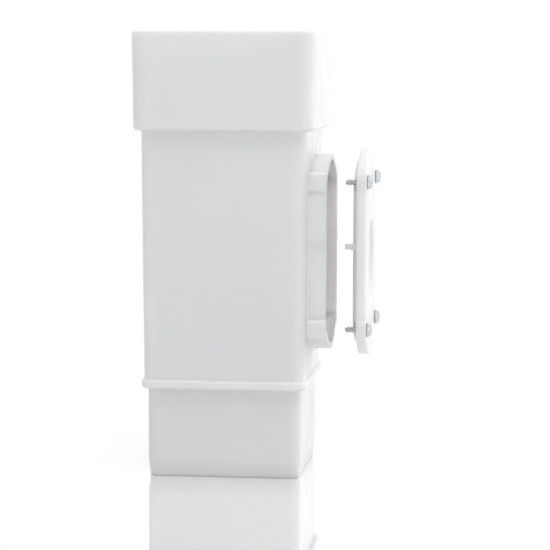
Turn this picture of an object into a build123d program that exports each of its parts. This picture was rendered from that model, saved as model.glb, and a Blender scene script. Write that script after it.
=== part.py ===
from build123d import *
from math import atan2, degrees, sqrt
import os

# Access pipe for a square rainwater downpipe, standing on its spigot with the door taken off.
# Millimetres. Z is the pipe's axis, Z = 0 is the spigot's end, and the access port faces +X.

# Downpipe that the fitting joins
pipe_width = 65.0
pipe_wall = 1.6

# Socket, which takes the pipe above
overall_height = 175.0
socket_height = 38.4
socket_clearance = 1.2
socket_wall = 2.6
socket_flare = 1.1
socket_floor = 2.6
socket_corner = 6.0
socket_bore_corner = 3.4
socket_lower_bevel = 1.0
socket_mouth_bevel = 0.4

# Body between the socket and the stop bead
body_top_width = 65.8
body_foot_width = 63.8
body_wall = 2.4
body_corner = 4.0

# Stop bead, which sits on the pipe below
bead_width = 66.0
bead_height = 3.6
bead_corner = 5.0
bead_round = 1.1

# Spigot, which enters the pipe below
spigot_length = 35.0
spigot_clearance = 0.6
spigot_wall = 2.2
bore_corner = 2.0
spigot_corner = 3.5
lead_in_height = 6.0
lead_in_setback = 0.9

# Access port in the body's +X face
port_height = 87.6
neck_reach = 39.7
neck_width = 52.0
neck_tall = 78.6
neck_crown_rise = 12.1
neck_corner = 12.0
neck_wall = 2.5
root_flare = 1.0
flare_angle = 45.0

# Screws, with their bosses on the neck and lugs on the door
screw_spread = 45.6
screw_rise = 58.0
boss_size = 7.8
lug_size = 8.6
lug_bevel = 0.4
block_corner = 1.2
pilot_diameter = 2.8
pilot_depth = 6.0

# Door, as it hangs in front of the port
door_gap = 11.9
door_overlap = 1.0
door_end_overlap = 2.0
plate_thickness = 4.0
face_thickness = 2.8
face_bevel = 0.6
lip_height = 1.5
lip_clearance = 0.5
lip_wall = 2.0
hole_diameter = 3.0

# Recess in the door's face
recess_diameter = 31.0
recess_depth = 1.3
recess_taper = 30.0
recess_drop = 2.5

# Pegs that key the door the right way up, and their slots in the neck
peg_rise = 3.8
peg_height = 2.6
peg_thickness = 1.6
peg_length = 4.6
peg_taper = 5.0
peg_clearance = 0.3
slot_bite = 1.3

# Pan-head screws
screw_diameter = 2.4
screw_length = 8.4
screw_end_chamfer = 0.5
head_diameter = 5.4
head_height = 2.0
head_chamfer = 0.8
cross_length = 2.8
cross_width = 0.6
cross_depth = 0.9

# Widths and levels that follow from the sizes above
socket_bore_foot = pipe_width + socket_clearance
socket_bore_mouth = socket_bore_foot + socket_flare
spigot_width = pipe_width - 2 * pipe_wall - spigot_clearance
spigot_end_width = spigot_width - 2 * lead_in_setback
body_level = spigot_length + bead_height
socket_level = overall_height - socket_height
seat_level = socket_level + socket_floor
spigot_bore = spigot_width - 2 * spigot_wall
body_bore_foot = body_foot_width - 2 * body_wall
body_bore_top = body_top_width - 2 * body_wall
neck_root = (min(body_foot_width, body_top_width) - body_wall) / 2
wall_rise = (port_height - spigot_length) / (socket_level - spigot_length)
wall_reach = (body_foot_width + (body_top_width - body_foot_width) * wall_rise) / 2
flare_reach = wall_reach - neck_root + root_flare
neck_crown = (neck_width ** 2 / 4 + neck_crown_rise ** 2) / (2 * neck_crown_rise)
opening_half = neck_width / 2 - neck_wall
slot_outer = opening_half + slot_bite
peg_middle = slot_outer - peg_clearance - peg_thickness / 2

port_plane = Plane(origin=(neck_reach, 0, port_height), x_dir=(0, 1, 0), z_dir=(1, 0, 0))
door_plane = port_plane.offset(door_gap)
lip_plane = door_plane.offset(-lip_height)
face_plane = door_plane.offset(plate_thickness)


def square_section(level, width, corner):
    with BuildSketch(Plane.XY.offset(level)) as section:
        RectangleRounded(width, width, corner)
    return section.sketch


def drafted_square(stations, corner, mode=Mode.ADD):
    """A square length through (level, width) stations, from the foot up, with the narrowest one's corner."""
    narrowest = min(width for level, width in stations)
    for (foot, foot_width), (top, top_width) in zip(stations, stations[1:]):
        draft = degrees(atan2((top_width - foot_width) / 2, top - foot))
        foot_corner = corner + (foot_width - narrowest) / 2
        extrude(square_section(foot, foot_width, foot_corner), amount=top - foot, taper=-draft, mode=mode)


def port_oval(side_growth, end_growth):
    """The neck's outline, with crowned ends and rounded corners, grown at its sides and ends."""
    half_width = neck_width / 2 + side_growth
    half_tall = neck_tall / 2 + end_growth
    crown = neck_crown + end_growth
    shoulder = half_tall - crown + sqrt(crown ** 2 - half_width ** 2)
    with BuildLine() as outline:
        Line((half_width, -shoulder), (half_width, shoulder))
        ThreePointArc((half_width, shoulder), (0, half_tall), (-half_width, shoulder))
        Line((-half_width, shoulder), (-half_width, -shoulder))
        ThreePointArc((-half_width, -shoulder), (0, -half_tall), (half_width, -shoulder))
        fillet(outline.vertices(), neck_corner + side_growth)
    make_face(outline.edges())


def corner_blocks(size):
    with GridLocations(screw_spread, screw_rise, 2, 2):
        RectangleRounded(size, size, block_corner)


# Pipe body: socket, body, bead, spigot and port neck, moulded in one
with BuildPart() as pipe_body:
    extrude(square_section(spigot_length, bead_width, bead_corner), amount=bead_height)
    fillet(pipe_body.edges().filter_by(Axis.Z, reverse=True), bead_round)

    drafted_square([
        (socket_level, socket_bore_foot + 2 * socket_wall),
        (overall_height, socket_bore_mouth + 2 * socket_wall),
    ], socket_corner)
    chamfer(pipe_body.faces().sort_by(Axis.Z)[-1].edges(), socket_mouth_bevel)
    socket_underside = pipe_body.faces().filter_by(Axis.Z).filter_by_position(
        Axis.Z, socket_level - socket_floor, seat_level)
    chamfer(socket_underside.edges(), socket_lower_bevel)

    drafted_square([(spigot_length, body_foot_width), (socket_level, body_top_width)], body_corner)
    drafted_square([
        (0, spigot_end_width),
        (lead_in_height, spigot_width),
        (spigot_length, spigot_width),
    ], spigot_corner)

    # Neck with its screw bosses, flared at its root on the body's wall
    with BuildSketch(port_plane):
        port_oval(0, 0)
        corner_blocks(boss_size)
    extrude(amount=neck_root - neck_reach)
    with BuildSketch(port_plane.offset(neck_root - neck_reach)):
        port_oval(flare_reach, flare_reach)
    extrude(amount=flare_reach + neck_wall / 2, taper=flare_angle)

    # Port opening
    with BuildSketch(port_plane):
        port_oval(-neck_wall, -neck_wall)
    extrude(amount=-neck_reach, mode=Mode.SUBTRACT)

    # Peg slots in the neck's inner face
    with BuildSketch(port_plane):
        with Locations((0, peg_rise)):
            Rectangle(2 * slot_outer, peg_height + 2 * peg_clearance)
    extrude(amount=-(peg_length + peg_clearance), mode=Mode.SUBTRACT)

    # Rainwater way, from the spigot's end up to the seat of the pipe above, and the socket's bore
    drafted_square([
        (0, spigot_bore),
        (spigot_length, spigot_bore),
        (body_level, body_bore_foot),
        (seat_level, body_bore_top),
    ], bore_corner, Mode.SUBTRACT)
    drafted_square([
        (seat_level, socket_bore_foot),
        (overall_height, socket_bore_mouth),
    ], socket_bore_corner, Mode.SUBTRACT)

    with Locations(port_plane):
        with GridLocations(screw_spread, screw_rise, 2, 2):
            Hole(pilot_diameter / 2, depth=pilot_depth)

# Door: plate with screw lugs, back lip, pegs and face recess
with BuildPart() as door_lug:
    with BuildSketch():
        RectangleRounded(lug_size, lug_size, block_corner)
    extrude(amount=plate_thickness)
    chamfer(door_lug.faces().sort_by(Axis.Z)[-1].edges(), lug_bevel)

with BuildPart() as access_door:
    with BuildSketch(door_plane):
        port_oval(door_overlap, door_end_overlap)
    extrude(amount=plate_thickness)
    chamfer(access_door.faces().sort_by(Axis.X)[-1].edges(), face_bevel)
    with Locations(door_plane):
        with GridLocations(screw_spread, screw_rise, 2, 2):
            add(door_lug.part)

    with BuildSketch(door_plane):
        port_oval(-neck_wall - lip_clearance, -neck_wall - lip_clearance)
    extrude(amount=-lip_height)

    with BuildSketch(lip_plane):
        port_oval(-neck_wall - lip_clearance - lip_wall, -neck_wall - lip_clearance - lip_wall)
    extrude(amount=lip_height + plate_thickness - face_thickness, mode=Mode.SUBTRACT)

    with BuildSketch(face_plane):
        with Locations((0, -recess_drop)):
            Circle(recess_diameter / 2)
    extrude(amount=-recess_depth, taper=recess_taper, mode=Mode.SUBTRACT)

    with BuildSketch(door_plane):
        with Locations((peg_middle, peg_rise), (-peg_middle, peg_rise)):
            Rectangle(peg_thickness, peg_height)
    extrude(amount=-peg_length, taper=peg_taper)

    with Locations(face_plane):
        with GridLocations(screw_spread, screw_rise, 2, 2):
            Hole(hole_diameter / 2, depth=plate_thickness)

# Screws: pan heads on the lugs' face, shanks through the lugs
with BuildPart() as one_screw:
    Cylinder(head_diameter / 2, head_height, align=(Align.CENTER, Align.CENTER, Align.MIN))
    chamfer(one_screw.faces().sort_by(Axis.Z)[-1].edges(), head_chamfer)
    with BuildSketch(Plane.XY.offset(head_height)):
        Rectangle(cross_length, cross_width)
        Rectangle(cross_width, cross_length)
    extrude(amount=-cross_depth, mode=Mode.SUBTRACT)
    Cylinder(screw_diameter / 2, screw_length, align=(Align.CENTER, Align.CENTER, Align.MAX))
    chamfer(one_screw.faces().sort_by(Axis.Z)[0].edges(), screw_end_chamfer)

with BuildPart() as door_screws:
    with Locations(face_plane):
        with GridLocations(screw_spread, screw_rise, 2, 2):
            add(one_screw.part)

pipe_body.part.label = "pipe_body"
access_door.part.label = "access_door"
door_screws.part.label = "door_screws"

os.makedirs("parts", exist_ok=True)
export_step(pipe_body.part, "parts/pipe_body.step")
export_step(access_door.part, "parts/access_door.step")
export_step(door_screws.part, "parts/door_screws.step")
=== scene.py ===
import math

import bmesh
import bpy
from mathutils import Matrix, Vector


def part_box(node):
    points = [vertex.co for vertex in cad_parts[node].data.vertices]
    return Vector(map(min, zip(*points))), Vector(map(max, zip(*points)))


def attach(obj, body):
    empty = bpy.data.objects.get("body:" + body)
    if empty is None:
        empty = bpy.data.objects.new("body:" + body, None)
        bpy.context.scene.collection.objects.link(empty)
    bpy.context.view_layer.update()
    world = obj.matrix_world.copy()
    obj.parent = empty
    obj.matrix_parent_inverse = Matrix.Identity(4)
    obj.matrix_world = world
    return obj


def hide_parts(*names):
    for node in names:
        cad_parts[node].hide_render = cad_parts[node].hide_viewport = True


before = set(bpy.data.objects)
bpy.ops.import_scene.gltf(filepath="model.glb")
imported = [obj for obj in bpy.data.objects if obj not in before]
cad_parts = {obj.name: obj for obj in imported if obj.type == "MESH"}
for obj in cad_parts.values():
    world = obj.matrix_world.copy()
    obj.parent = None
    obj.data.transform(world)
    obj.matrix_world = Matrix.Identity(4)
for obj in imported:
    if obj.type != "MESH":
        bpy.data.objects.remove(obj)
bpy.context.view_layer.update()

MM = 0.001

# Screw heads: pan head with a cross recess
HEAD_RADIUS = 2.7 * MM
HEAD_HEIGHT = 2.0 * MM
HEAD_EDGE = 0.70 * MM
HEAD_SEAT_SHARE = 0.96
HEAD_SEAT_RISE = 0.05 * MM
DOME_TOP_SHARE = 0.30
DOME_CURVE = 0.8
DOME_STEPS = 10
HEAD_AROUND = 64
CROSS_LENGTH = 4.0 * MM
CROSS_WIDTH = 1.00 * MM
CROSS_DEPTH = 1.40 * MM
CROSS_FLOOR_SHARE = 0.45
CROSS_TURNS = {"upper_near": 8, "upper_far": 52, "lower_near": -24, "lower_far": 71}

# Screw shanks: single-start thread, with the crest and flanks as shares of the pitch
THREAD_RADIUS = 1.3 * MM
CORE_RADIUS = 0.82 * MM
THREAD_PITCH = 1.20 * MM
THREAD_FOOT = 0.30
THREAD_FLANK = 0.20
THREAD_FADE = 1.2
POINT_LENGTH = 0.6 * MM
POINT_RADIUS = 0.55 * MM
POINT_CURVE = 0.7
SHANK_AROUND = 40
SHANK_ROWS_A_TURN = 16
SHARP_ANGLE = math.radians(40)

# White uPVC
UPVC_LOW = (0.802, 0.802, 0.803)
UPVC_HIGH = (0.828, 0.825, 0.838)
UPVC_ROUGHNESS = (0.17, 0.24)
UPVC_IOR = 1.52
UPVC_TONE_SCALE = 28.0
UPVC_HAZE_SCALE = 120.0
RIPPLE_SCALE = 40.0
RIPPLE_DEPTH = 0.06 * MM
RIPPLE_STRENGTH = 0.3
EDGE_ROUND = 0.35 * MM
SCATTER_WEIGHT = 0.6
SCATTER_RADIUS = (1.0, 0.91, 0.85)
SCATTER_SCALE = 7.5 * MM

# Zinc-plated steel, with painted shade in its hollows
ZINC_LOW = (0.58, 0.61, 0.64)
ZINC_HIGH = (0.76, 0.79, 0.82)
# Dark colour of the painted shade in the hollows, thread grooves and cross recess
ZINC_PAINTED_SHADE = (0.07, 0.08, 0.09)
ZINC_ROUGHNESS = (0.18, 0.34)
ZINC_TONE_SCALE = 900.0
ZINC_STREAK_SCALE = 2600.0
STREAK_DEPTH = 0.02 * MM
STREAK_STRENGTH = 0.3
# Reach of the ambient occlusion that paints the shade, and its stops from shaded to unshaded
PAINTED_SHADE_REACH = 0.60 * MM
PAINTED_SHADE_STOPS = (0.5, 0.95)

# White gloss table
FLOOR_REACH = 4.0
FLOOR_DROP = 0.05 * MM
FLOOR_LOW = (0.96, 0.96, 0.965)
FLOOR_HIGH = (0.98, 0.98, 0.98)
FLOOR_ROUGHNESS = (0.02, 0.05)
FLOOR_METALLIC = 0.75
FLOOR_TONE_SCALE = 3.0
FLOOR_HAZE_SCALE = 9.0
FLOOR_GLOW = 0.06

# Studio light: place, target and size in metres, power in watts
AMBIENT = 0.39
LAMPS = {
    "key": ((0.88, 0.55, 0.20), (0.03, 0, 0.09), (0.6, 0.5), 6.9),
    "front": ((0.25, -1.20, 0.08), (0.02, 0, 0.05), (0.15, 0.3), 2.7),
    "side": ((0.85, -0.75, 0.12), (0.03, 0, 0.07), (0.4, 0.4), 0.7),
    "top": ((0.18, -0.30, 1.05), (0.01, 0, 0.1), (0.5, 0.5), 5.2),
    "left": ((-0.92, 0.02, 0.10), (-0.03, 0, 0.07), (0.5, 0.4), 1.4),
}

# Camera, as it stands in the photograph
CAMERA_PLACE = Vector((0.1186, -0.8800, 0.1636))
CAMERA_YAW = math.radians(-6.606)
CAMERA_PITCH = math.radians(-5.548)
CAMERA_ROLL = math.radians(0.156)
CAMERA_LENS = 144.12
CAMERA_SENSOR = 36

scene = bpy.context.scene
scene.view_settings.view_transform = "Standard"


def node(tree, kind, **values):
    """A shader node, with its inputs or properties set by name."""
    made = tree.nodes.new(kind)
    for name, value in values.items():
        if name in made.inputs:
            made.inputs[name].default_value = value
        else:
            setattr(made, name, value)
    return made


def new_material(name):
    material = bpy.data.materials.new(name)
    material.use_nodes = True
    tree = material.node_tree
    return material, tree, tree.nodes["Principled BSDF"]


def object_place(tree):
    return node(tree, "ShaderNodeTexCoord").outputs["Object"]


def noise(tree, place, scale, detail):
    texture = node(tree, "ShaderNodeTexNoise", Scale=scale, Detail=detail, Roughness=0.5)
    tree.links.new(place, texture.inputs["Vector"])
    return texture.outputs["Fac"]


def ramp(tree, factor, low, high, stops=(0.3, 0.7)):
    """Blends two colours as a factor goes from one stop to the other."""
    blend = node(tree, "ShaderNodeValToRGB")
    for element, stop, colour in zip(blend.color_ramp.elements, stops, (low, high)):
        element.position = stop
        element.color = (*colour, 1)
    tree.links.new(factor, blend.inputs["Fac"])
    return blend.outputs["Color"]


def spread(tree, factor, low, high, stops=(0.3, 0.7)):
    """Maps a factor between two stops to a range of values."""
    mapped = node(tree, "ShaderNodeMapRange")
    mapped.inputs["From Min"].default_value = stops[0]
    mapped.inputs["From Max"].default_value = stops[1]
    mapped.inputs["To Min"].default_value = low
    mapped.inputs["To Max"].default_value = high
    tree.links.new(factor, mapped.inputs["Value"])
    return mapped.outputs["Result"]


def bump(tree, height, distance, strength, below=None):
    """A bumped normal, on top of another normal where one is given."""
    lumps = node(tree, "ShaderNodeBump", Strength=strength, Distance=distance)
    tree.links.new(height, lumps.inputs["Height"])
    if below is not None:
        tree.links.new(below, lumps.inputs["Normal"])
    return lumps.outputs["Normal"]


def moulded_upvc():
    """White gloss plastic, faintly uneven in tone, with the slight ripple of a moulded face."""
    material, tree, shader = new_material("white_upvc")
    place = object_place(tree)
    tone = noise(tree, place, UPVC_TONE_SCALE, 4.0)
    tree.links.new(ramp(tree, tone, UPVC_LOW, UPVC_HIGH), shader.inputs["Base Color"])
    haze = noise(tree, place, UPVC_HAZE_SCALE, 5.0)
    tree.links.new(spread(tree, haze, *UPVC_ROUGHNESS), shader.inputs["Roughness"])
    edges = node(tree, "ShaderNodeBevel", samples=6, Radius=EDGE_ROUND)
    ripple = noise(tree, place, RIPPLE_SCALE, 1.0)
    normal = bump(tree, ripple, RIPPLE_DEPTH, RIPPLE_STRENGTH, edges.outputs["Normal"])
    tree.links.new(normal, shader.inputs["Normal"])
    shader.inputs["IOR"].default_value = UPVC_IOR
    shader.inputs["Subsurface Weight"].default_value = SCATTER_WEIGHT
    shader.inputs["Subsurface Radius"].default_value = SCATTER_RADIUS
    shader.inputs["Subsurface Scale"].default_value = SCATTER_SCALE
    return material


def zinc_steel():
    """Bright zinc plate on steel, cool and slightly streaked, with painted shade darkening its
    hollows.
    """
    material, tree, shader = new_material("zinc_steel")
    place = object_place(tree)
    bright = ramp(tree, noise(tree, place, ZINC_TONE_SCALE, 4.0), ZINC_LOW, ZINC_HIGH)
    # Painted shade: ambient occlusion darkens the base colour in hollows and grooves
    painted_shade_ao = node(tree, "ShaderNodeAmbientOcclusion", samples=8, Distance=PAINTED_SHADE_REACH)
    unshaded_share = spread(tree, painted_shade_ao.outputs["AO"], 0.0, 1.0, PAINTED_SHADE_STOPS)
    shade = node(tree, "ShaderNodeMix", data_type="RGBA")
    shade.inputs["A"].default_value = (*ZINC_PAINTED_SHADE, 1)
    tree.links.new(unshaded_share, shade.inputs["Factor"])
    tree.links.new(bright, shade.inputs["B"])
    tree.links.new(shade.outputs["Result"], shader.inputs["Base Color"])
    streak = noise(tree, place, ZINC_STREAK_SCALE, 3.0)
    tree.links.new(spread(tree, streak, *ZINC_ROUGHNESS), shader.inputs["Roughness"])
    normal = bump(tree, streak, STREAK_DEPTH, STREAK_STRENGTH)
    tree.links.new(normal, shader.inputs["Normal"])
    shader.inputs["Metallic"].default_value = 1.0
    return material


def mesh_object(name, vertices, faces):
    mesh = bpy.data.meshes.new(name)
    mesh.from_pydata(vertices, [], faces)
    mesh.validate()
    made = bpy.data.objects.new(name, mesh)
    scene.collection.objects.link(made)
    shell = bmesh.new()
    shell.from_mesh(mesh)
    bmesh.ops.recalc_face_normals(shell, faces=shell.faces)
    shell.to_mesh(mesh)
    shell.free()
    return made


def band(low, high, count):
    """Faces between two rings of points, from the index of each ring's first point."""
    faces = []
    for a in range(count):
        b = (a + 1) % count
        faces.append((low + a, low + b, high + b, high + a))
    return faces


def ring_skin(rings, around):
    """Faces over rings of equal count, with a fan to a middle point at each end."""
    faces = []
    for r in range(rings - 1):
        faces += band(r * around, (r + 1) * around, around)
    first, last = rings * around, rings * around + 1
    top = (rings - 1) * around
    for a in range(around):
        b = (a + 1) % around
        faces.append((first, b, a))
        faces.append((last, top + a, top + b))
    return faces


def turned(name, profile):
    """A turned form about local Z through (radius, height) points, closed at both ends."""
    vertices = []
    for radius, height in profile:
        for a in range(HEAD_AROUND):
            angle = 2 * math.pi * a / HEAD_AROUND
            vertices.append((radius * math.cos(angle), radius * math.sin(angle), height))
    vertices.append((0, 0, profile[0][1]))
    vertices.append((0, 0, profile[-1][1]))
    return mesh_object(name, vertices, ring_skin(len(profile), HEAD_AROUND))


def cross_cutter():
    """A tapered cross-shaped plug that cuts the driver recess."""
    far, near = CROSS_LENGTH / 2, CROSS_WIDTH / 2
    outline = [
        (near, near), (far, near), (far, -near), (near, -near), (near, -far), (-near, -far),
        (-near, -near), (-far, -near), (-far, near), (-near, near), (-near, far), (near, far),
    ]
    count = len(outline)
    levels = (
        (HEAD_HEIGHT * 1.5, 1.0),
        (HEAD_HEIGHT, 1.0),
        (HEAD_HEIGHT - CROSS_DEPTH, CROSS_FLOOR_SHARE),
    )
    vertices = [(x * share, y * share, height) for height, share in levels for x, y in outline]
    faces = [tuple(range(count)), tuple(range(3 * count - 1, 2 * count - 1, -1))]
    faces += band(0, count, count)
    faces += band(count, 2 * count, count)
    return mesh_object("cross_cutter", vertices, faces)


def screw_head():
    """A pan head's mesh with the driver recess cut in it."""
    profile = [
        (HEAD_RADIUS * HEAD_SEAT_SHARE, 0),
        (HEAD_RADIUS, HEAD_SEAT_RISE),
        (HEAD_RADIUS, HEAD_EDGE),
    ]
    for k in range(1, DOME_STEPS + 1):
        angle = math.pi / 2 * k / DOME_STEPS
        share = DOME_TOP_SHARE + (1 - DOME_TOP_SHARE) * math.cos(angle) ** DOME_CURVE
        height = HEAD_EDGE + (HEAD_HEIGHT - HEAD_EDGE) * math.sin(angle)
        profile.append((HEAD_RADIUS * share, height))
    head = turned("screw_head", profile)
    cutter = cross_cutter()
    cut = head.modifiers.new("recess", "BOOLEAN")
    cut.operation = "DIFFERENCE"
    cut.solver = "EXACT"
    cut.object = cutter
    scene.view_layers[0].update()
    graph = bpy.context.evaluated_depsgraph_get()
    made = bpy.data.meshes.new_from_object(head.evaluated_get(graph))
    bpy.data.objects.remove(head)
    bpy.data.objects.remove(cutter)
    return made


def screw_shank(length):
    """A shank below Z = 0 with a single-start thread that fades into its point."""
    rows = int(length / THREAD_PITCH * SHANK_ROWS_A_TURN)
    vertices = []
    for r in range(rows + 1):
        depth = length * r / rows
        to_point = min(1.0, (length - depth) / POINT_LENGTH)
        core = POINT_RADIUS + (CORE_RADIUS - POINT_RADIUS) * to_point ** POINT_CURVE
        rise = (THREAD_RADIUS - CORE_RADIUS) * min(1.0, to_point * THREAD_FADE)
        for a in range(SHANK_AROUND):
            turn = a / SHANK_AROUND
            phase = (depth / THREAD_PITCH + turn) % 1.0
            crest = min(1.0, max(0.0, (THREAD_FOOT - abs(phase - 0.5)) / THREAD_FLANK))
            radius = core + rise * crest
            angle = 2 * math.pi * turn
            vertices.append((radius * math.cos(angle), radius * math.sin(angle), -depth))
    vertices.append((0, 0, 0))
    vertices.append((0, 0, -length))
    return mesh_object("screw_shank", vertices, ring_skin(rows + 1, SHANK_AROUND))


def soften(obj):
    """Smooth shading that keeps the sharper edges."""
    for face in obj.data.polygons:
        face.use_smooth = True
    obj.data.set_sharp_from_angle(angle=SHARP_ANGLE)


def make_screws(material):
    """Four screws in the place of the plain CAD ones, each with its own turn."""
    low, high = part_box("door_screws")
    length = high.x - low.x - HEAD_HEIGHT
    seat = high.x - HEAD_HEIGHT
    middle = (low + high) / 2
    reach_y = (high.y - low.y) / 2 - HEAD_RADIUS
    reach_z = (high.z - low.z) / 2 - HEAD_RADIUS
    head = screw_head()
    shank = screw_shank(length)
    whole = bmesh.new()
    whole.from_mesh(head)
    whole.from_mesh(shank.data)
    mesh = bpy.data.meshes.new("door_screw")
    whole.to_mesh(mesh)
    whole.free()
    bpy.data.objects.remove(shank)
    outward = Matrix.Rotation(math.pi / 2, 4, "Y")
    for name, turn in CROSS_TURNS.items():
        rise, side = name.split("_")
        y = middle.y + (reach_y if side == "far" else -reach_y)
        z = middle.z + (reach_z if rise == "upper" else -reach_z)
        turned_in = Matrix.Rotation(math.radians(turn), 4, "Z")
        screw = bpy.data.objects.new(f"door_screw_{name}", mesh.copy())
        scene.collection.objects.link(screw)
        screw.matrix_world = Matrix.Translation((seat, y, z)) @ outward @ turned_in
        screw.data.materials.append(material)
        soften(screw)
        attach(screw, "door")
        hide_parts("door_screws")


def dress_cad(name, material):
    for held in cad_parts[name].material_slots:
        held.material = material


def make_floor():
    """A white gloss table that runs out of view and mirrors the object's foot."""
    reach = FLOOR_REACH
    corners = [(-reach, -reach, 0), (reach, -reach, 0), (reach, reach, 0), (-reach, reach, 0)]
    floor = mesh_object("floor", corners, [(0, 1, 2, 3)])
    floor.location.z = -FLOOR_DROP
    material, tree, shader = new_material("floor_gloss")
    place = object_place(tree)
    tone = noise(tree, place, FLOOR_TONE_SCALE, 2.0)
    tree.links.new(ramp(tree, tone, FLOOR_LOW, FLOOR_HIGH), shader.inputs["Base Color"])
    haze = noise(tree, place, FLOOR_HAZE_SCALE, 3.0)
    tree.links.new(spread(tree, haze, *FLOOR_ROUGHNESS), shader.inputs["Roughness"])
    shader.inputs["Metallic"].default_value = FLOOR_METALLIC
    seen = node(tree, "ShaderNodeLightPath").outputs["Is Camera Ray"]
    glow = spread(tree, seen, 0.0, FLOOR_GLOW, (0.0, 1.0))
    tree.links.new(glow, shader.inputs["Emission Strength"])
    shader.inputs["Emission Color"].default_value = (1, 1, 1, 1)
    floor.data.materials.append(material)


def make_world():
    """White to the eye and in reflections, softer as light on the object."""
    world = bpy.data.worlds.new("studio")
    scene.world = world
    world.use_nodes = True
    tree = world.node_tree
    back = tree.nodes["Background"]
    back.inputs["Color"].default_value = (1, 1, 1, 1)
    rays = node(tree, "ShaderNodeLightPath")
    seen = rays.outputs["Is Camera Ray"]
    for kind in ("Is Glossy Ray", "Is Transmission Ray"):
        either = node(tree, "ShaderNodeMath", operation="MAXIMUM")
        tree.links.new(seen, either.inputs[0])
        tree.links.new(rays.outputs[kind], either.inputs[1])
        seen = either.outputs[0]
    level = spread(tree, seen, AMBIENT, 1.0, (0.0, 1.0))
    tree.links.new(level, back.inputs["Strength"])


def soft_lamp(name, place, target, size, power):
    data = bpy.data.lights.new(name, "AREA")
    data.shape = "RECTANGLE"
    data.size, data.size_y = size
    data.energy = power
    lamp = bpy.data.objects.new(name, data)
    scene.collection.objects.link(lamp)
    lamp.location = place
    aim = Vector(target) - Vector(place)
    lamp.rotation_euler = aim.to_track_quat("-Z", "Y").to_euler()
    lamp.visible_camera = False
    lamp.visible_glossy = False


def make_camera():
    data = bpy.data.cameras.new("camera")
    data.lens = CAMERA_LENS
    data.sensor_width = CAMERA_SENSOR
    camera = bpy.data.objects.new("camera", data)
    scene.collection.objects.link(camera)
    ahead = Vector((
        math.sin(CAMERA_YAW) * math.cos(CAMERA_PITCH),
        math.cos(CAMERA_YAW) * math.cos(CAMERA_PITCH),
        math.sin(CAMERA_PITCH),
    ))
    level = Vector((math.cos(CAMERA_YAW), -math.sin(CAMERA_YAW), 0))
    rise = level.cross(ahead)
    right = math.cos(CAMERA_ROLL) * level + math.sin(CAMERA_ROLL) * rise
    up = right.cross(ahead)
    turn = Matrix((right, up, -ahead)).transposed().to_4x4()
    camera.matrix_world = Matrix.Translation(CAMERA_PLACE) @ turn
    scene.camera = camera


upvc = moulded_upvc()
steel = zinc_steel()
dress_cad("pipe_body", upvc)
dress_cad("access_door", upvc)
make_screws(steel)
make_floor()
make_world()
for lamp_name, (lamp_place, lamp_target, lamp_size, lamp_power) in LAMPS.items():
    soft_lamp(lamp_name, lamp_place, lamp_target, lamp_size, lamp_power)
make_camera()
